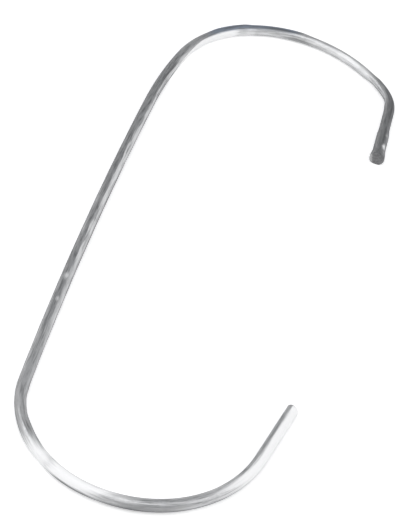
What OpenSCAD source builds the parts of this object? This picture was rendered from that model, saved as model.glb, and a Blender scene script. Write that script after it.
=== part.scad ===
// C hook, bent cold from one length of round steel rod.
// It lies on its side: the back runs along Y, the upper hook is at +Y, both hooks
// open towards +X and the rod rests on z = 0. The origin is the middle of its footprint.

/* [Rod] */
// Diameter of the round rod
rod_d = 5; // [3:0.5:8]

/* [Back] */
// Length of the back between the two hooks, along the rod
back_len = 179; // [140:1:300]
// How far the middle of the back bows out of a straight line
back_bow = 1.7; // [0:0.1:6]

/* [Upper hook] */
// Radius of the long easy bend that leads from the back into the upper bend
upper_lead_r = 230; // [150:5:400]
// How far the easy bend turns the rod, in degrees
upper_lead_angle = 10; // [4:1:16]
// Radius of the upper bend, to the middle of the rod
upper_bend_r = 54; // [40:1:70]
// How far the upper bend turns the rod, in degrees
upper_bend_angle = 129; // [110:1:140]
// Radius of the tighter bend between the upper bend and its tail
upper_turn_r = 22; // [12:1:40]
// How far the tighter bend turns the rod, in degrees
upper_turn_angle = 38; // [10:1:40]
// Length of the straight upper tail, from its bend to the end face
upper_tail_len = 36; // [20:1:60]

/* [Lower hook] */
// Radius of the lower bend, to the middle of the rod
lower_bend_r = 42; // [30:1:60]
// How far the lower bend turns the rod, in degrees
lower_bend_angle = 80; // [60:1:100]
// Radius of the wider bend between the lower bend and its tail
lower_turn_r = 52; // [30:1:70]
// How far the wider bend turns the rod, in degrees
lower_turn_angle = 85.5; // [60:0.5:95]
// Length of the straight lower tail, from its bend to the end face
lower_tail_len = 30.5; // [15:0.5:60]

/* [Ends] */
// Rounding of the lower end's rim
lower_end_edge = 0.9; // [0.2:0.1:1.2]
// How far cropping has spread the upper end, all round
end_spread = 1; // [0.3:0.1:1.2]
// Length over which the upper end spreads
end_spread_len = 5; // [3:0.5:10]
// Rounding of the upper end's rim
upper_end_edge = 1; // [0.2:0.1:1.2]
// How far the spread end still stands below the rod, where the crop flattened it
end_underside = 0.1; // [0.05:0.05:0.3]

/* [Hidden] */
$fn = 96;

rod_r = rod_d / 2;
upper_end_r = rod_r + end_spread;
// How far a cutting block reaches past what it trims
overcut = 1;
// Steps in which each run is followed to find the footprint
samples = 180;
// A ball joins each run to the next: how far it stands over the rod, too little to feel,
// and how far short of the next run each one stops inside it
ball_rise = 0.02;
ball_gap = 0.1;

// The bow is an arc: radius and angle from its length and its height over the chord
bow_r = back_bow > 0 ? back_len * back_len / (8 * back_bow) : 0;
bow_angle = back_bow > 0 ? degrees_turned(back_len, bow_r) : 0;

// A run of the rod is [bend radius, angle turned, length along the rod]
function degrees_turned(length, r) = length / r * 180 / PI;
function bend(r, angle) = [r, angle, r * angle * PI / 180];
function straight(length) = [0, 0, length];

// The rod from its lower tail to its upper end, without the two finished ends
runs = [
    straight(lower_tail_len - lower_end_edge),
    bend(lower_turn_r, lower_turn_angle),
    bend(lower_bend_r, lower_bend_angle),
    back_bow > 0 ? bend(bow_r, bow_angle) : straight(back_len),
    bend(upper_lead_r, upper_lead_angle),
    bend(upper_bend_r, upper_bend_angle),
    bend(upper_turn_r, upper_turn_angle),
    straight(upper_tail_len - end_spread_len)
];

// A pose on the rod is [x, y, heading]. The heading is in degrees, clockwise from +Y.
function pose_along(pose, run, part) =
    let (start = pose[2], turned = run[1] * part, now = start + turned)
    run[0] > 0
        ? [pose.x + run[0] * (cos(start) - cos(now)), pose.y + run[0] * (sin(now) - sin(start)), now]
        : [pose.x + run[2] * part * sin(start), pose.y + run[2] * part * cos(start), start];
function poses_from(pose, i) =
    i == len(runs) ? [pose] : concat([pose], poses_from(pose_along(pose, runs[i], 1), i + 1));

// The heading of the lower tail makes the chord of the back parallel to Y
lower_heading = -lower_turn_angle - lower_bend_angle - bow_angle / 2;
poses = poses_from([0, 0, lower_heading], 0);
upper_pose = poses[len(runs)];
upper_face = pose_along(upper_pose, straight(end_spread_len), 1);

// Both sides of the rod seen from above, to centre the footprint on the origin
function sides(pose, r) =
    [for (side = [-r, r]) [pose.x + side * cos(pose[2]), pose.y - side * sin(pose[2])]];
outline = concat(
    [for (i = [0 : len(runs) - 1], k = [0 : samples])
        each sides(pose_along(poses[i], runs[i], k / samples), rod_r)],
    sides(upper_face, upper_end_r)
);
across = [for (p = outline) p.x];
along = [for (p = outline) p.y];
middle = [(min(across) + max(across)) / 2, (min(along) + max(along)) / 2];
// Height of the middle of the rod over the surface that the hook lies on
rest_height = rod_r + end_underside;

// Puts a piece on the rod at a pose, with its own +Y along the rod
module at_pose(pose) {
    translate([pose.x, pose.y, 0]) rotate(-pose[2]) children();
}

// One straight or bent run of rod that starts at the origin along +Y and turns towards +X
module rod_run(run) {
    part = 1 - ball_gap / run[2];
    if (run[0] > 0)
        translate([run[0], 0, 0])
            rotate(180 - run[1] * part)
                rotate_extrude(angle = run[1] * part)
                    translate([run[0], 0]) circle(r = rod_r);
    else
        rotate([-90, 0, 0]) cylinder(r = rod_r, h = run[2] * part);
}

// The last bit of a rod end, up +Z: a flat face with a rounded rim
module rounded_rim(r, edge) {
    cylinder(r = r - edge, h = edge);
    rotate_extrude()
        intersection() {
            translate([r - edge, 0]) circle(r = edge);
            translate([r - edge, 0]) square(edge);
        }
}

// Lower tail: straight rod up to its free end, which has a rounded rim
module lower_tail() {
    rim_start = lower_tail_len - ball_gap - lower_end_edge;
    translate([0, -ball_gap, 0])
        rotate([90, 0, 0]) {
            cylinder(r = rod_r, h = rim_start);
            translate([0, 0, rim_start]) rounded_rim(rod_r, lower_end_edge);
        }
}

// Upper end: spread by the crop that cut the rod, and flattened underneath by its bed
module spread_end() {
    difference() {
        rotate([-90, 0, 0]) {
            cylinder(r1 = rod_r, r2 = upper_end_r, h = end_spread_len - upper_end_edge);
            translate([0, 0, end_spread_len - upper_end_edge]) rounded_rim(upper_end_r, upper_end_edge);
        }
        translate([-upper_end_r - overcut, -overcut, -rest_height - upper_end_r])
            cube([2 * (upper_end_r + overcut), end_spread_len + 2 * overcut, upper_end_r]);
    }
}

// The whole hook: one rod, its runs end to end, with its two finished ends
module hook() {
    color("silver")
        translate([-middle.x, -middle.y, rest_height]) {
            at_pose(poses[1]) lower_tail();
            for (i = [1 : len(runs) - 1]) at_pose(poses[i]) rod_run(runs[i]);
            for (i = [1 : len(runs)]) at_pose(poses[i]) sphere(r = rod_r + ball_rise);
            at_pose(upper_pose) spread_end();
        }
}

hook();
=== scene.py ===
"""A c hook bent cold from one length of 5 mm steel rod, lying on its side on a pale floor."""

import math
from collections import namedtuple

import bpy
import numpy as np
from mathutils import Euler, Matrix, Vector, noise


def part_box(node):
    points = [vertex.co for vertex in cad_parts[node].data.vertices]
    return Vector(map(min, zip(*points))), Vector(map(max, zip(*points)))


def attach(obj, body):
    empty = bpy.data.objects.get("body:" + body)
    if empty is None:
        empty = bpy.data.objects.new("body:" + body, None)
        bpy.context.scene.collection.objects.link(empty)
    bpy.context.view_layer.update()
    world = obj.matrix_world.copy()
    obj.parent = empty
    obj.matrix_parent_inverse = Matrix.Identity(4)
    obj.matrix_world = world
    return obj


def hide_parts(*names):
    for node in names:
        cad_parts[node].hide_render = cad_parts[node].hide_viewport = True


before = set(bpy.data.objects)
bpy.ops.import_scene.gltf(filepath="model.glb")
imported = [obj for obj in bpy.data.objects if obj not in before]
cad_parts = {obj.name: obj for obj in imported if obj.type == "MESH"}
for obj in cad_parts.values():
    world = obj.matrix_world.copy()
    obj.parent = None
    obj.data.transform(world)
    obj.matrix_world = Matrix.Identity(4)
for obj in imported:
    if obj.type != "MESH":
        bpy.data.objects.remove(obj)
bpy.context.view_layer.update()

# ---------------------------------------------------------------- the rod
# Lengths are in metres and turns in degrees. The rod is followed from its lower end. A way
# round it is 0 inside the hook, 90 up and 180 outside the hook.

ROD_R = 0.0025

# The back is a shallow arc: its length along the rod, and its height over its chord
BACK_LENGTH = 0.179
BACK_BOW = 0.0017
BACK_R = BACK_LENGTH * BACK_LENGTH / (8 * BACK_BOW)
BACK_TURN = math.degrees(BACK_LENGTH / BACK_R)

# A bent run is (radius to the middle of the rod, turn); a straight one is (0, length)
LOWER_TAIL = (0, 0.0305)
LOWER_TURN = (0.052, 85.5)
LOWER_BEND = (0.042, 80)
BACK = (BACK_R, BACK_TURN)
UPPER_LEAD = (0.230, 10)
UPPER_BEND = (0.054, 129)
UPPER_TURN = (0.022, 38)
UPPER_TAIL = (0, 0.036)
RUNS = (LOWER_TAIL, LOWER_TURN, LOWER_BEND, BACK, UPPER_LEAD, UPPER_BEND, UPPER_TURN, UPPER_TAIL)

# The chord of the back lies along Y, so the lower tail starts at this heading from +Y
LOWER_HEADING = -(LOWER_TURN[1] + LOWER_BEND[1] + BACK_TURN / 2)

# Height of the middle of the rod over the floor, and the least gap under its skin
REST_HEIGHT = 0.0026
FLOOR_GAP = 0.00001

# Ways round the rod
INSIDE = 0
OUTSIDE = 180

# Cropped lower end: the rim is rolled on one side and crisp on the other
LOWER_ROLLED_RIM = 0.0016
LOWER_CRISP_RIM = 0.0004
LOWER_ROLLED_WAY = 157.08
LOWER_DISH = 0.00012

# Cropped upper end: a slight swelling, then a spread all round, with a rolled rim
SWELLING = 0.0003
SWELLING_OUTSIDE = 0.0005
SWELLING_LENGTH = 0.023
SWELLING_RISE = 0.006
SPREAD = 0.00099
SPREAD_INSIDE = 0.00095
SPREAD_LENGTH = 0.005
# The spread starts this much early, up to twice as much outside the hook, and it is full
# this far short of the end
SPREAD_LEAD = 0.002
SPREAD_SHORT = 0.0012
UPPER_RIM = 0.001
UPPER_DISH = 0.00025

# Cropped faces: height, size and (falloff, step, layers) of their unevenness. It fades in
# over this part of the way from the rim to the middle. It is full on the torn side and
# slight on the smooth one.
RELIEF = 0.00007
RELIEF_SIZE = 0.0008
RELIEF_LAYERS = (0.8, 2.1, 3)
RELIEF_FADE = 0.25
SMOOTH_UP_TO = -0.3
TORN_FROM = 0.5
SMOOTH_RELIEF = 0.15

# Places that bending has pushed out or drawn in: (start, end, way they face, amount), and
# how softly they begin and end
BENDING_MARKS = (
    (0.410, 0.430, 150, 0.0004),
    (0.146, 0.160, 10, -0.0004),
    (0.459, 0.499, 138, -0.0004),
    (0.496, 0.516, -30, -0.0008),
)
MARK_RISE = 0.004
MARK_FALL = 0.003

# Shallow hollows left by drawing and bending, and the wear all over the rod
WEAR = 0.000005
HOLLOW_DEPTH = 0.00004
HOLLOWS_ALONG = 85
HOLLOWS_ROUND = 0.9

# Points round the rod, distance between its rings, and rings in each rim and end face
SIDES = 64
RING_STEP = 0.001
END_RING_STEP = 0.0004
RIM_RINGS = 9
FACE_RINGS = 12

ANGLES = [2 * math.pi * i / SIDES for i in range(SIDES)]
# Rings of an end: part 0 is where its rim starts, 1 where its face starts, 2 its middle
RIM_PARTS = [k / RIM_RINGS for k in range(RIM_RINGS + 1)]
FACE_PARTS = [1 + k / FACE_RINGS for k in range(1, FACE_RINGS)]


def run_length(run):
    """Length of a run along the middle of the rod."""
    radius, amount = run
    return radius * math.radians(amount) if radius else amount


ROD_LENGTH = sum(run_length(run) for run in RUNS)


def along_run(pose, run, distance):
    """The pose (x, y, heading) at a distance along a run that starts at a pose."""
    x, y, heading = pose
    radius = run[0]
    if not radius:
        return x + distance * math.sin(heading), y + distance * math.cos(heading), heading
    now = heading + distance / radius
    across = radius * (math.cos(heading) - math.cos(now))
    ahead = radius * (math.sin(now) - math.sin(heading))
    return x + across, y + ahead, now


def rod_pose(distance):
    """The pose at a distance along the rod, with its lower end at x = y = 0."""
    pose = (0.0, 0.0, math.radians(LOWER_HEADING))
    for run in RUNS[:-1]:
        length = run_length(run)
        if distance <= length:
            return along_run(pose, run, distance)
        pose = along_run(pose, run, length)
        distance -= length
    return along_run(pose, RUNS[-1], distance)


def smooth_step(low, high, value):
    """0 at low, 1 at high, with a soft change between them; low may be above high."""
    part = min(max((value - low) / (high - low), 0), 1)
    return part * part * (3 - 2 * part)


def between(first, second, part):
    """The first value at part 0, the second at part 1."""
    return first + (second - first) * part


def facing(angle, way):
    """How far an angle round the rod faces a way: 1 at it, 0 on the other side."""
    return 0.5 + 0.5 * math.cos(angle - math.radians(way))


def lower_rim(angle):
    """Rounding of the lower end's rim: crisp on one side, rolled on the other."""
    return between(LOWER_CRISP_RIM, LOWER_ROLLED_RIM, facing(angle, LOWER_ROLLED_WAY) ** 2)


def upper_radius(angle):
    """Radius of the spread end, which is fuller outside the hook than inside it."""
    return ROD_R + between(SPREAD, SPREAD_INSIDE, facing(angle, INSIDE))


# An end of the rod: rounding of its rim and radius by angle, the sign of the way it faces
# along the rod, its distance along the rod, how deep its face is dished, where the face's
# unevenness is taken from, and the way its torn side faces
End = namedtuple("End", "rim radius sign at dish seed torn_way")
LOWER_END = End(lower_rim, lambda angle: ROD_R, -1, 0, LOWER_DISH, 3.1, 137.5)
UPPER_END = End(lambda angle: UPPER_RIM, upper_radius, 1, ROD_LENGTH, UPPER_DISH, 7.7, 246.4)


def face_relief(end, angle, radius):
    """Unevenness of a cropped face: smooth where the blade went in, torn where it broke."""
    place = Vector((radius * math.cos(angle), radius * math.sin(angle), end.seed)) / RELIEF_SIZE
    reach = math.cos(angle - math.radians(end.torn_way)) * radius / ROD_R
    torn = smooth_step(SMOOTH_UP_TO, TORN_FROM, reach)
    return RELIEF * noise.fractal(place, *RELIEF_LAYERS) * between(SMOOTH_RELIEF, 1, torn)


def end_ring(end, part):
    """One ring of an end: (distance, radius) for each point round the rod."""
    ring = []
    for angle in ANGLES:
        edge = end.rim(angle)
        flat = end.radius(angle) - edge
        if part <= 1:
            turn = part * math.pi / 2
            out = flat + edge * math.cos(turn)
            back = edge * (1 - math.sin(turn))
        else:
            out = flat * (2 - part)
            depth = 1 - (out / flat) ** 2
            fade = smooth_step(0, RELIEF_FADE, part - 1)
            back = end.dish * depth + fade * face_relief(end, angle, out)
        ring.append((end.at - end.sign * back, out))
    return ring


def end_rings(end):
    """Rings of an end, from its rim towards the middle of its face."""
    return [end_ring(end, part) for part in RIM_PARTS + FACE_PARTS]


def body_radius(distance, angle):
    """Radius of the rod at a distance from its lower end: even, then swollen and spread."""
    outside = facing(angle, OUTSIDE)
    swelling_start = ROD_LENGTH - SWELLING_LENGTH
    rise = smooth_step(swelling_start, swelling_start + SWELLING_RISE, distance)
    swollen = ROD_R + between(SWELLING, SWELLING_OUTSIDE, outside) * rise
    spread_start = ROD_LENGTH - SPREAD_LENGTH - SPREAD_LEAD * (1 + outside)
    spread = smooth_step(spread_start, ROD_LENGTH - SPREAD_SHORT, distance)
    return between(swollen, upper_radius(angle), spread)


def bending_marks(distance, angle):
    """How far the places that bending has pushed out or drawn in stand off the rod."""
    total = 0
    for start, end, way, amount in BENDING_MARKS:
        begun = smooth_step(start - MARK_RISE, start + MARK_RISE, distance)
        going = smooth_step(end + MARK_FALL, end - MARK_FALL, distance)
        total += amount * begun * going * facing(angle, way) ** 2
    return total


def hollow(distance, angle):
    """Depth of the shallow hollows in the skin, which only ever go inwards."""
    across = HOLLOWS_ROUND * math.cos(angle)
    up = HOLLOWS_ROUND * math.sin(angle)
    place = Vector((across, up, distance * HOLLOWS_ALONG))
    return WEAR + HOLLOW_DEPTH * (0.5 + 0.5 * noise.noise(place))


def skin_radius(distance, angle):
    """Radius of the rod with its bending marks and hollows."""
    return body_radius(distance, angle) + bending_marks(distance, angle) - hollow(distance, angle)


def body_rings():
    """Rings of the rod between its ends, closer together where the rod spreads."""
    start = LOWER_ROLLED_RIM + END_RING_STEP
    spread = ROD_LENGTH - SPREAD_LENGTH - 2 * RING_STEP
    stop = ROD_LENGTH - UPPER_RIM - END_RING_STEP / 2
    distances = [*np.arange(start, spread, RING_STEP), *np.arange(spread, stop, END_RING_STEP)]
    return [[(place, skin_radius(place, angle)) for angle in ANGLES] for place in distances]


def footprint_shift(rings):
    """The move that centres the rod's footprint on that of the CAD solid."""
    sides = []
    for ring in rings:
        distance = ring[0][0]
        x, y, heading = rod_pose(distance)
        for angle in (0, math.pi):
            out = body_radius(distance, angle) * math.cos(angle)
            sides.append((x + out * math.cos(heading), y - out * math.sin(heading)))
    box_low, box_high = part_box("hook")
    middle = (np.array(box_low[:2]) + np.array(box_high[:2])) / 2
    return middle - (np.min(sides, axis=0) + np.max(sides, axis=0)) / 2


def rod_point(distance, angle, radius, shift):
    """A point of the skin in the hook's frame, and its place on the rod: out, up and along."""
    x, y, heading = rod_pose(distance)
    out = radius * math.cos(angle)
    up = radius * math.sin(angle)
    east = x + shift[0] + out * math.cos(heading)
    north = y + shift[1] - out * math.sin(heading)
    return (east, north, max(REST_HEIGHT + up, FLOOR_GAP)), (out, up, distance)


def rod_points(rings):
    """Points and places of all the rings, and last of the middles of the two end faces."""
    shift = footprint_shift(rings)
    pairs = [
        rod_point(distance, angle, radius, shift)
        for ring in rings
        for angle, (distance, radius) in zip(ANGLES, ring)
    ]
    for end in (LOWER_END, UPPER_END):
        pairs.append(rod_point(end.at - end.sign * end.dish, 0, 0, shift))
    return zip(*pairs)


def rod_faces(count):
    """Four-sided faces between neighbouring rings, with a fan of triangles at each end."""
    lower = count * SIDES
    upper = lower + 1
    last = lower - SIDES
    steps = [(i, (i + 1) % SIDES) for i in range(SIDES)]
    faces = [
        (ring + i, ring + j, ring + SIDES + j, ring + SIDES + i)
        for ring in range(0, last, SIDES)
        for i, j in steps
    ]
    for i, j in steps:
        faces.append((lower, j, i))
        faces.append((upper, last + i, last + j))
    return faces


def paint_ends(mesh, count):
    """Gives the cropped faces, and the rim of the upper one, the second material."""
    lower_last = FACE_RINGS - 1
    upper_first = count - FACE_RINGS - RIM_RINGS
    for polygon in mesh.polygons:
        rings = [point // SIDES for point in polygon.vertices if point < count * SIDES]
        if max(rings) <= lower_last or min(rings) >= upper_first:
            polygon.material_index = 1


def build_rod(materials):
    """The whole hook as one closed skin over its rod."""
    rings = end_rings(LOWER_END)[::-1] + body_rings() + end_rings(UPPER_END)
    points, places = rod_points(rings)
    mesh = bpy.data.meshes.new("hook_rod")
    mesh.from_pydata(points, [], rod_faces(len(rings)))
    attribute = mesh.attributes.new("rod_space", "FLOAT_VECTOR", "POINT")
    attribute.data.foreach_set("vector", np.array(places, float).ravel())
    mesh.shade_smooth()
    rod = bpy.data.objects.new("hook_rod", mesh)
    bpy.context.scene.collection.objects.link(rod)
    for material in materials:
        mesh.materials.append(material)
    paint_ends(mesh, len(rings))
    return rod


# ---------------------------------------------------------------- nodes

FLOAT = "NodeSocketFloat"
VECTOR = "NodeSocketVector"
# A Mix node's sockets for colours
FIRST_COLOUR = 6
SECOND_COLOUR = 7
MIXED_COLOUR = 2


def add(tree, kind, **settings):
    """A node of a kind, with its plain settings."""
    node = tree.nodes.new(kind)
    for name, value in settings.items():
        setattr(node, name, value)
    return node


def feed(tree, socket, value):
    """Links an output into a socket, or sets the socket's own value."""
    if isinstance(value, bpy.types.NodeSocket):
        tree.links.new(value, socket)
    else:
        socket.default_value = value


def feed_all(tree, node, values):
    """Feeds a node's inputs from values by name."""
    for name, value in values.items():
        feed(tree, node.inputs[name], value)


def maths(tree, operation, *values):
    """A Math node; its inputs are numbers or outputs."""
    node = add(tree, "ShaderNodeMath", operation=operation)
    for socket, value in zip(node.inputs, values):
        feed(tree, socket, value)
    return node.outputs["Value"]


def plus(tree, first, second):
    """The sum of two values."""
    return maths(tree, "ADD", first, second)


def minus(tree, first, second):
    """The first value less the second."""
    return maths(tree, "SUBTRACT", first, second)


def times(tree, first, second):
    """The product of two values."""
    return maths(tree, "MULTIPLY", first, second)


def plus_shares(tree, start, shares):
    """A value with shares of several masks added: (mask, share)."""
    total = start
    for mask, share in shares:
        total = plus(tree, total, times(tree, mask, share))
    return total


def strongest(tree, masks):
    """The strongest of several masks at each place."""
    most = 0.0
    for mask in masks:
        most = maths(tree, "MAXIMUM", most, mask)
    return most


def vectors(tree, operation, *values):
    """A Vector Math node; its inputs are vectors or outputs."""
    node = add(tree, "ShaderNodeVectorMath", operation=operation)
    for socket, value in zip(node.inputs, values):
        feed(tree, socket, value)
    return node.outputs["Value" if operation in ("DOT_PRODUCT", "LENGTH") else "Vector"]


def remap(tree, value, low, high):
    """0 at low and 1 at high, with a soft change between them; low may be above high."""
    node = add(tree, "ShaderNodeMapRange", clamp=True, interpolation_type="SMOOTHSTEP")
    feed_all(tree, node, {"Value": value, "From Min": low, "From Max": high})
    return node.outputs["Result"]


def soft_edge(tree, value, edge, fade):
    """0 well below an edge and 1 well above it."""
    return remap(tree, value, minus(tree, edge, fade), plus(tree, edge, fade))


def coat(tree, colour, layers):
    """A colour with several coats over it, each where its mask is: (mask, colour)."""
    for mask, coating in layers:
        node = add(tree, "ShaderNodeMix", data_type="RGBA")
        feed(tree, node.inputs["Factor"], mask)
        feed(tree, node.inputs[FIRST_COLOUR], colour)
        feed(tree, node.inputs[SECOND_COLOUR], coating)
        colour = node.outputs[MIXED_COLOUR]
    return colour


def cloud(tree, place, scale, detail=2.0, rough=0.5, distortion=0.0, output="Fac"):
    """A Noise Texture's value, or its colour."""
    node = add(tree, "ShaderNodeTexNoise", noise_dimensions="3D")
    feed_all(tree, node, {"Vector": place, "Scale": scale, "Detail": detail})
    feed_all(tree, node, {"Roughness": rough, "Distortion": distortion})
    return node.outputs[output]


def parts_of(tree, vector):
    """The three parts of a vector."""
    split = add(tree, "ShaderNodeSeparateXYZ")
    feed(tree, split.inputs["Vector"], vector)
    return split.outputs


def bump(tree, skin, height, strength, distance):
    """Gives a skin the relief of a height."""
    node = add(tree, "ShaderNodeBump")
    feed_all(tree, node, {"Strength": strength, "Distance": distance, "Height": height})
    feed(tree, skin.inputs["Normal"], node.outputs["Normal"])


def new_group(name, inputs, outputs):
    """A node group with named sockets: (name, kind, value) in, (name, kind) out."""
    tree = bpy.data.node_groups.new(name, "ShaderNodeTree")
    for title, kind, value in inputs:
        socket = tree.interface.new_socket(title, in_out="INPUT", socket_type=kind)
        socket.default_value = value
    for title, kind in outputs:
        tree.interface.new_socket(title, in_out="OUTPUT", socket_type=kind)
    start = add(tree, "NodeGroupInput")
    end = add(tree, "NodeGroupOutput")
    return tree, start.outputs, end.inputs


def use_group(tree, group, values):
    """Places a group in a material and feeds its inputs."""
    node = add(tree, "ShaderNodeGroup", node_tree=group)
    feed_all(tree, node, values)
    return node.outputs


# ---------------------------------------------------------------- effects on the skin

# Draw lines: the wide ones' scale against the fine ones', each kind's share of the height,
# and where the wide ones turn dark
WIDE_LINE_SCALE = 0.3
FINE_LINE_SHARE = 0.6
WIDE_LINE_SHARE = 0.4
DARK_LINE_FROM = 0.42
DARK_LINE_TO = 0.7


def draw_lines_group():
    """Fine lines that the die leaves along the rod."""
    tree, given, out = new_group(
        "draw lines",
        [
            ("Place", VECTOR, (0, 0, 0)),
            ("Lines per Metre", FLOAT, 2500.0),
            ("Stretch", FLOAT, 0.02),
        ],
        [("Height", FLOAT), ("Dark", FLOAT)],
    )
    squash = add(tree, "ShaderNodeCombineXYZ")
    feed_all(tree, squash, {"X": 1, "Y": 1, "Z": given["Stretch"]})
    place = vectors(tree, "MULTIPLY", given["Place"], squash.outputs["Vector"])
    wide_scale = times(tree, given["Lines per Metre"], WIDE_LINE_SCALE)
    fine = cloud(tree, place, given["Lines per Metre"], 3.0, 0.6)
    wide = cloud(tree, place, wide_scale)
    fine_height = times(tree, fine, FINE_LINE_SHARE)
    feed(tree, out["Height"], plus_shares(tree, fine_height, [(wide, WIDE_LINE_SHARE)]))
    feed(tree, out["Dark"], remap(tree, wide, DARK_LINE_FROM, DARK_LINE_TO))
    return tree


# Dull patches: the speckle's scale against the patches', each one's share of the mask, the
# edge of an empty mask, how far the amount moves it, and its fade
SPECKLE_SCALE = 6.0
PATCH_SHARE = 0.7
SPECKLE_SHARE = 0.3
PATCH_EDGE = 0.75
PATCH_GROWTH = 0.4
PATCH_FADE = 0.1


def dull_patches_group():
    """Soft dull patches where handling and oxide have taken the shine off."""
    tree, given, out = new_group(
        "dull patches",
        [
            ("Place", VECTOR, (0, 0, 0)),
            ("Patches per Metre", FLOAT, 120.0),
            ("Amount", FLOAT, 0.5),
        ],
        [("Mask", FLOAT), ("Speckle", FLOAT)],
    )
    speckle_scale = times(tree, given["Patches per Metre"], SPECKLE_SCALE)
    broad = cloud(tree, given["Place"], given["Patches per Metre"], 3.0, 0.55, 0.3)
    speckle = cloud(tree, given["Place"], speckle_scale)
    both = plus_shares(tree, times(tree, broad, PATCH_SHARE), [(speckle, SPECKLE_SHARE)])
    edge = minus(tree, PATCH_EDGE, times(tree, given["Amount"], PATCH_GROWTH))
    feed(tree, out["Mask"], soft_edge(tree, both, edge, PATCH_FADE))
    feed(tree, out["Speckle"], speckle)
    return tree


# Spots: scale and amount of the wobble in their outline, and where they fade out and are
# full, both against their size
WOBBLES_PER_METRE = 700
WOBBLE = (0.5, 0.5, 0.5)
SPOT_RIM = 1.3
SPOT_FULL = 0.1


# Used for the near-white spots and for the painted dark reflection lines
def soft_spot_group():
    """One soft-edged spot at a place on the rod, with its own size across and along it."""
    tree, given, out = new_group(
        "soft spot",
        [
            ("Place", VECTOR, (0, 0, 0)),
            ("Middle", VECTOR, (0, 0, 0)),
            ("Size", VECTOR, (1, 1, 1)),
        ],
        [("Mask", FLOAT)],
    )
    wobble = cloud(tree, given["Place"], WOBBLES_PER_METRE, output="Color")
    shift = vectors(tree, "SUBTRACT", wobble, (0.5, 0.5, 0.5))
    offset = vectors(tree, "SUBTRACT", given["Place"], given["Middle"])
    part = vectors(tree, "DIVIDE", offset, given["Size"])
    moved = vectors(tree, "ADD", part, vectors(tree, "MULTIPLY", shift, WOBBLE))
    feed(tree, out["Mask"], remap(tree, vectors(tree, "LENGTH", moved), SPOT_RIM, SPOT_FULL))
    return tree


# Stretches: scale of their ragged edges, how far these are drawn out along the rod, and
# how strong they are at the ends, against the fade, and at the sides
RAGS_PER_METRE = 1100.0
RAGS_DRAWN_OUT = (1, 1, 0.08)
RAGGED_ENDS = 1.5
RAGGED_SIDES = 0.5


def stretch_group():
    """A stretch of the rod with ragged ends, all round it or on one side of it."""
    tree, given, out = new_group(
        "stretch of rod",
        [
            ("Place", VECTOR, (0, 0, 0)),
            ("Start", FLOAT, 0.0),
            ("End", FLOAT, 0.1),
            ("Fade", FLOAT, 0.01),
            ("Side", VECTOR, (0, 1, 0)),
            ("Side Edge", FLOAT, -2.0),
            ("Side Fade", FLOAT, 0.25),
            ("Slant", FLOAT, 0.0),
        ],
        [("Mask", FLOAT)],
    )
    drawn_out = vectors(tree, "MULTIPLY", given["Place"], RAGS_DRAWN_OUT)
    ragged = minus(tree, cloud(tree, drawn_out, RAGS_PER_METRE), 0.5)
    across = vectors(tree, "MULTIPLY", given["Place"], (1 / ROD_R, 1 / ROD_R, 0))
    lean = vectors(tree, "DOT_PRODUCT", across, given["Side"])
    ragged_end = times(tree, ragged, times(tree, given["Fade"], RAGGED_ENDS))
    along = plus(tree, parts_of(tree, given["Place"])["Z"], ragged_end)
    slanted = minus(tree, along, times(tree, lean, given["Slant"]))
    begun = soft_edge(tree, slanted, given["Start"], given["Fade"])
    ended = soft_edge(tree, along, given["End"], given["Fade"])
    inside = times(tree, begun, minus(tree, 1.0, ended))
    leaning = plus_shares(tree, lean, [(ragged, RAGGED_SIDES)])
    sided = soft_edge(tree, leaning, given["Side Edge"], given["Side Fade"])
    feed(tree, out["Mask"], times(tree, inside, sided))
    return tree


# Stretches of the skin: (start, end, fade, way it faces, side edge, side fade, slant,
# strength). A stretch covers what leans towards its way by more than the side edge, where
# 1 is at that way and -1 on the other side. Its slant is how much later it starts there.
ALL_ROUND = (90, -2.0, 0.25)
# Painted highlights: stretches coloured near-white, less like metal and rougher
PAINTED_HIGHLIGHTS = (
    (-0.02, 0.053, 0.012, 128, 0.58, 0.20, 0, 1.0),
    (0.050, 0.066, 0.012, 43, -0.2, 0.6, 0, 0.3),
    (0.060, 0.086, 0.008, *ALL_ROUND, 0, 0.13),
    (0.088, 0.108, 0.006, 43, -0.2, 0.5, 0, 0.4),
    (0.102, 0.126, 0.006, 43, -0.6, 0.12, -0.007, 1.0),
    (0.124, 0.131, 0.005, *ALL_ROUND, 0, 1.0),
    (0.124, 0.136, 0.008, 140, 0.3, 0.4, 0, 1.0),
    (0.144, 0.192, 0.006, *ALL_ROUND, 0, 0.12),
    (0.190, 0.300, 0.014, 51, 0.88, 0.07, 0, 0.33),
    (0.230, 0.322, 0.012, 57, 0.955, 0.04, 0, 0.6),
    (0.298, 0.324, 0.006, 30, 0.9, 0.08, 0, 0.45),
    (0.300, 0.388, 0.014, 42, 0.94, 0.04, 0, 0.5),
    (0.388, 0.404, 0.006, *ALL_ROUND, 0, 0.14),
    (0.400, 0.423, 0.004, -38, -0.05, 0.25, -0.034, 1.0),
    (0.416, 0.433, 0.006, -38, 0.3, 0.6, 0, 0.6),
    (0.426, 0.446, 0.008, -20, 0.3, 0.4, 0, 0.25),
    (0.444, 0.460, 0.006, 32, 0.93, 0.05, 0, 0.35),
    (0.457, 0.498, 0.005, 140, 0.6, 0.3, 0, 0.8),
    (0.459, 0.499, 0.005, 47, 0.76, 0.16, 0, 0.6),
    (0.459, 0.499, 0.005, *ALL_ROUND, 0, 0.18),
    (0.473, 0.492, 0.006, 50, 0.84, 0.12, 0, 0.95),
)
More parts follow.
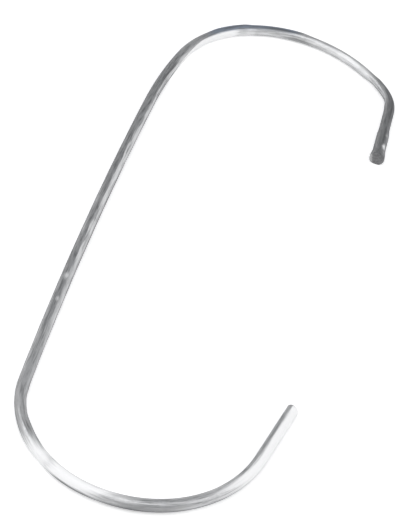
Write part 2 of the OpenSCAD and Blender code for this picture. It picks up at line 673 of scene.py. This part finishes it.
# Painted shade: stretches of the skin coloured dark grey
PAINTED_SHADE = (
    (0.070, 0.098, 0.008, 212, 0.35, 0.4, 0, 1.0),
    (0.104, 0.122, 0.004, 195, 0.9, 0.08, 0, 0.5),
    (0.130, 0.172, 0.008, 0, 0.7, 0.3, 0, 0.55),
    (0.140, 0.164, 0.008, 185, 0.5, 0.3, 0, 0.6),
    (0.226, 0.245, 0.006, 178, 0.5, 0.3, 0, 0.5),
    (0.230, 0.335, 0.008, -2, 0.88, 0.1, 0, 0.6),
    (0.284, 0.384, 0.012, 178, 0.5, 0.3, 0, 0.45),
    (0.338, 0.376, 0.006, 68, 0.97, 0.03, 0, 0.5),
    (0.436, 0.454, 0.005, 66, 0.93, 0.05, 0, 0.6),
    (0.512, 0.700, 0.004, -18, -2.0, 0.25, 0.011, 0.48),
    (0.505, 0.535, 0.006, 130, 0.85, 0.06, 0, 0.7),
)
# Painted blue-grey reflection on the outside of the upper bend
PAINTED_BLUE_REFLECTION = ((0.407, 0.454, 0.004, 140, 0.05, 0.35, 0, 0.7),)
# Painted shade on edges: the crisp rim of the lower end, and the inside of the lower bend
SHADED_EDGES = (
    (-0.01, 0.0007, 0.0004, 50, 0.3, 0.4, 0, 0.8),
    (0.096, 0.126, 0.006, 46, 0.9, 0.06, 0, 0.22),
)
# Painted highlight on one side of the rim of the cropped upper end
PAINTED_RIM_HIGHLIGHT = ((0.4, 0.7, 0.01, -18, 0.8, 0.2, 0, 1.0),)

# Near-white spots on the skin, coloured like the painted highlights: (middle, size, strength),
# each place being out, up and along the rod
WHITE_SPOTS = (
    ((0.0001, 0.0025, 0.2232), (0.0016, 0.0016, 0.0025), 0.55),
    ((0.0001, 0.0025, 0.2096), (0.0010, 0.0010, 0.0018), 0.4),
    ((-0.0015, 0.0021, 0.5422), (0.0011, 0.0011, 0.0013), 0.35),
    ((-0.0015, 0.0021, 0.5508), (0.0012, 0.0012, 0.0026), 1.0),
    ((-0.0020, 0.0018, 0.5545), (0.0012, 0.0012, 0.0016), 0.35),
)
# Painted dark reflections: lines along the back, the upper bend and its tail
DARK_REFLECTION_LINES = (
    ((0.0014, 0.0021, 0.366), (0.0011, 0.0011, 0.013), 1.0),
    ((0.0025, 0.0000, 0.456), (0.0011, 0.0011, 0.014), 1.0),
    ((-0.0009, 0.0024, 0.523), (0.0011, 0.0011, 0.018), 1.0),
    ((-0.0006, 0.0025, 0.543), (0.0012, 0.0012, 0.013), 1.0),
)


def stretch_masks(tree, stretch, place, rows):
    """The masks of a table of stretches, each times its strength."""
    masks = []
    for start, end, fade, way, edge, side_fade, slant, strength in rows:
        turn = math.radians(way)
        values = {"Place": place, "Start": start, "End": end, "Fade": fade, "Slant": slant}
        values["Side"] = (math.cos(turn), math.sin(turn), 0)
        values["Side Edge"] = edge
        values["Side Fade"] = side_fade
        part = use_group(tree, stretch, values)
        masks.append(times(tree, part["Mask"], strength))
    return masks


def spot_masks(tree, spot, place, rows):
    """The masks of a table of spots, each times its strength."""
    masks = []
    for middle, size, strength in rows:
        part = use_group(tree, spot, {"Place": place, "Middle": middle, "Size": size})
        masks.append(times(tree, part["Mask"], strength))
    return masks


# ---------------------------------------------------------------- steel

# Drawn steel: its colour and those of what lies over it, among them painted shade, painted
# highlights and a painted blue-grey reflection, how strong the lines and streaks are, the tint
# it shows edge-on, its roughness with what the coats add, and its relief (strength, depth)
SATIN_GREY = (0.565, 0.569, 0.575, 1)
DULL_GREY = (0.475, 0.479, 0.485, 1)
# Painted blue-grey reflection
REFLECTION_BLUE = (0.34, 0.41, 0.53, 1)
# Painted shade, also used for the painted dark reflection lines
SHADE_GREY = (0.212, 0.213, 0.216, 1)
LINE_GREY = (0.3, 0.305, 0.32, 1)
STREAK_GREY = (0.25, 0.255, 0.26, 1)
# Painted highlights, and the near-white spots
HIGHLIGHT_WHITE = (0.97, 0.97, 0.972, 1)
# Painted shade on edges
EDGE_SHADE_GREY = (0.2, 0.2, 0.205, 1)
LINE_STRENGTH = 0.3
STREAK_STRENGTH = 0.9
SATIN_EDGE_ON = (0.25, 0.25, 0.26, 1)
SATIN_ROUGHNESS = 0.33
PATCH_ROUGHNESS = 0.10
SPECKLE_ROUGHNESS = 0.06
# Roughness added where highlights are painted
HIGHLIGHT_ROUGHNESS = 0.25
LINE_RELIEF = (0.3, 0.00004)

# Cropped steel: the same, in its own values
TORN_GREY = (0.2, 0.2, 0.203, 1)
TORN_DARK = (0.14, 0.14, 0.143, 1)
# Painted highlight on the rim of the cropped upper end
RIM_HIGHLIGHT_GREY = (0.42, 0.42, 0.425, 1)
TORN_ROUGHNESS = 0.42
GRAIN_ROUGHNESS = 0.15
GRAIN_RELIEF = (0.4, 0.00008)

# How much less like metal the painted highlights are, on the skin and on the rim of the cropped
# upper end
LESS_METAL = 0.9


def new_material(name):
    """A new node material, its tree and its Principled BSDF."""
    material = bpy.data.materials.new(name)
    material.use_nodes = True
    tree = material.node_tree
    return material, tree, tree.nodes["Principled BSDF"]


def rod_place(tree):
    """Place on the rod: out, up and along it, in metres."""
    return add(tree, "ShaderNodeAttribute", attribute_name="rod_space").outputs["Vector"]


def drawn_steel(lines, patches, spot, stretch):
    """Drawn steel: satin, with dull patches, draw lines, painted shade and highlights, painted
    dark and blue-grey reflections, and near-white spots.
    """
    material, tree, skin = new_material("drawn steel")
    place = rod_place(tree)
    line = use_group(tree, lines, {"Place": place, "Lines per Metre": 1300.0, "Stretch": 0.05})
    streak = use_group(tree, lines, {"Place": place, "Lines per Metre": 8000.0, "Stretch": 0.07})
    patch = use_group(tree, patches, {"Place": place, "Patches per Metre": 140.0, "Amount": 0.5})
    # Painted light on the skin: a blue-grey reflection, shade, dark reflection lines, highlights
    # and shaded edges
    blue_reflection = strongest(tree, stretch_masks(tree, stretch, place, PAINTED_BLUE_REFLECTION))
    dark = stretch_masks(tree, stretch, place, PAINTED_SHADE)
    dark += spot_masks(tree, spot, place, DARK_REFLECTION_LINES)
    bright = stretch_masks(tree, stretch, place, PAINTED_HIGHLIGHTS)
    bright += spot_masks(tree, spot, place, WHITE_SPOTS)
    painted_highlight = strongest(tree, bright)
    edges = strongest(tree, stretch_masks(tree, stretch, place, SHADED_EDGES))
    coats = [
        (patch["Mask"], DULL_GREY),
        (blue_reflection, REFLECTION_BLUE),
        (strongest(tree, dark), SHADE_GREY),
        (times(tree, line["Dark"], LINE_STRENGTH), LINE_GREY),
        (times(tree, streak["Dark"], STREAK_STRENGTH), STREAK_GREY),
        (painted_highlight, HIGHLIGHT_WHITE),
        (edges, EDGE_SHADE_GREY),
    ]
    feed(tree, skin.inputs["Base Color"], coat(tree, SATIN_GREY, coats))
    feed(tree, skin.inputs["Metallic"], minus(tree, 1.0, times(tree, painted_highlight, LESS_METAL)))
    skin.inputs["Specular Tint"].default_value = SATIN_EDGE_ON
    duller = [
        (patch["Mask"], PATCH_ROUGHNESS),
        (patch["Speckle"], SPECKLE_ROUGHNESS),
        (painted_highlight, HIGHLIGHT_ROUGHNESS),
    ]
    feed(tree, skin.inputs["Roughness"], plus_shares(tree, SATIN_ROUGHNESS, duller))
    bump(tree, skin, line["Height"], *LINE_RELIEF)
    return material


def cropped_steel(patches, stretch):
    """The grey, slightly torn steel of a cropped end, with a highlight painted on one side of the
    upper end's rim.
    """
    material, tree, skin = new_material("cropped steel")
    place = rod_place(tree)
    patch = use_group(tree, patches, {"Place": place, "Patches per Metre": 900.0, "Amount": 0.6})
    # Painted highlight on one side of the upper end's rim
    bright = strongest(tree, stretch_masks(tree, stretch, place, PAINTED_RIM_HIGHLIGHT))
    coats = [(patch["Mask"], TORN_DARK), (bright, RIM_HIGHLIGHT_GREY)]
    feed(tree, skin.inputs["Base Color"], coat(tree, TORN_GREY, coats))
    feed(tree, skin.inputs["Metallic"], minus(tree, 1.0, times(tree, bright, LESS_METAL)))
    rough = plus_shares(tree, TORN_ROUGHNESS, [(patch["Speckle"], GRAIN_ROUGHNESS)])
    feed(tree, skin.inputs["Roughness"], rough)
    bump(tree, skin, patch["Speckle"], *GRAIN_RELIEF)
    return material


# ---------------------------------------------------------------- floor, light and camera

FLOOR_SIZE = 1.5
FLOOR_COLOUR = (0.86, 0.86, 0.86, 1)
FLOOR_ROUGHNESS = 0.9
GLOW_COLOUR = (1, 1, 1, 1)
FLOOR_GLOW = 0.4

# Soft lamps that face the hook: (name, compass side, elevation, width, height). The side is
# 0 at +X and 90 at +Y.
LAMPS = (
    ("top_lamp", 250, 68, 0.8, 0.8),
    ("left_lamp", 190, 38, 0.65, 0.6),
    ("right_lamp", 0, 38, 0.65, 0.6),
)
LAMP_DISTANCE = 1.0
LAMP_GLOW = 1.7

# The room is pale near the horizon and greyer above it; the change is between two heights
# on a globe of radius 1
ROOM_PALE = (0.98, 0.98, 0.98, 1)
ROOM_GREY = (0.42, 0.425, 0.435, 1)
PALE_UP_TO = 0.05
GREY_FROM = 0.45

# The camera: its place, its turns about x, y and z, its lens and the height of its film in
# millimetres, and the nearest and farthest that it sees
CAMERA_AT = (0.013858, -0.558225, 0.522184)
CAMERA_TURN = (44.7210, -12.6159, 14.3067)
CAMERA_LENS = 82.652
CAMERA_FILM = 24
CAMERA_NEAR = 0.01
CAMERA_FAR = 100


def pale_floor():
    """A plain white floor. It glows a little where it is seen, and keeps its shadow."""
    bpy.ops.mesh.primitive_plane_add(size=FLOOR_SIZE)
    floor = bpy.context.object
    floor.name = "floor"
    material, tree, skin = new_material("pale floor")
    skin.inputs["Base Color"].default_value = FLOOR_COLOUR
    skin.inputs["Roughness"].default_value = FLOOR_ROUGHNESS
    skin.inputs["Specular IOR Level"].default_value = 0
    skin.inputs["Emission Color"].default_value = GLOW_COLOUR
    path = add(tree, "ShaderNodeLightPath").outputs
    rays = [path[f"Is {kind} Ray"] for kind in ("Camera", "Glossy", "Transmission")]
    feed(tree, skin.inputs["Emission Strength"], times(tree, strongest(tree, rays), FLOOR_GLOW))
    floor.data.materials.append(material)


def softbox(name, azimuth, elevation, width, height):
    """A soft lamp that faces the hook."""
    lamp = bpy.data.lights.new(name, "AREA")
    lamp.shape = "RECTANGLE"
    lamp.size = width
    lamp.size_y = height
    lamp.energy = LAMP_GLOW * math.pi * width * height
    box = bpy.data.objects.new(name, lamp)
    turn = math.radians(azimuth)
    rise = math.radians(elevation)
    flat = math.cos(rise)
    way = Vector((flat * math.cos(turn), flat * math.sin(turn), math.sin(rise)))
    box.location = way * LAMP_DISTANCE
    box.rotation_mode = "QUATERNION"
    box.rotation_quaternion = way.to_track_quat("Z", "Y")
    box.visible_camera = False
    bpy.context.scene.collection.objects.link(box)


def room():
    """The light of the room all round."""
    world = bpy.data.worlds.new("room")
    bpy.context.scene.world = world
    world.use_nodes = True
    tree = world.node_tree
    back = tree.nodes["Background"]
    where = add(tree, "ShaderNodeTexCoord").outputs["Generated"]
    high = remap(tree, parts_of(tree, where)["Z"], PALE_UP_TO, GREY_FROM)
    feed(tree, back.inputs["Color"], coat(tree, ROOM_PALE, [(high, ROOM_GREY)]))
    back.inputs["Strength"].default_value = 1


def camera():
    """The camera looks down on the hook from in front of its lower end."""
    data = bpy.data.cameras.new("camera")
    data.sensor_fit = "VERTICAL"
    data.sensor_height = CAMERA_FILM
    data.lens = CAMERA_LENS
    data.clip_start = CAMERA_NEAR
    data.clip_end = CAMERA_FAR
    eye = bpy.data.objects.new("camera", data)
    turn = Euler([math.radians(angle) for angle in CAMERA_TURN])
    eye.matrix_world = Matrix.LocRotScale(Vector(CAMERA_AT), turn, None)
    bpy.context.scene.collection.objects.link(eye)
    bpy.context.scene.camera = eye


# ---------------------------------------------------------------- putting it together

bpy.context.scene.view_settings.view_transform = "Standard"
draw_lines = draw_lines_group()
dull_patches = dull_patches_group()
soft_spot = soft_spot_group()
stretch_of_rod = stretch_group()
skin_steel = drawn_steel(draw_lines, dull_patches, soft_spot, stretch_of_rod)
end_steel = cropped_steel(dull_patches, stretch_of_rod)
hook_rod = build_rod([skin_steel, end_steel])
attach(hook_rod, "root")
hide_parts("hook")
pale_floor()
for lamp_values in LAMPS:
    softbox(*lamp_values)
room()
camera()
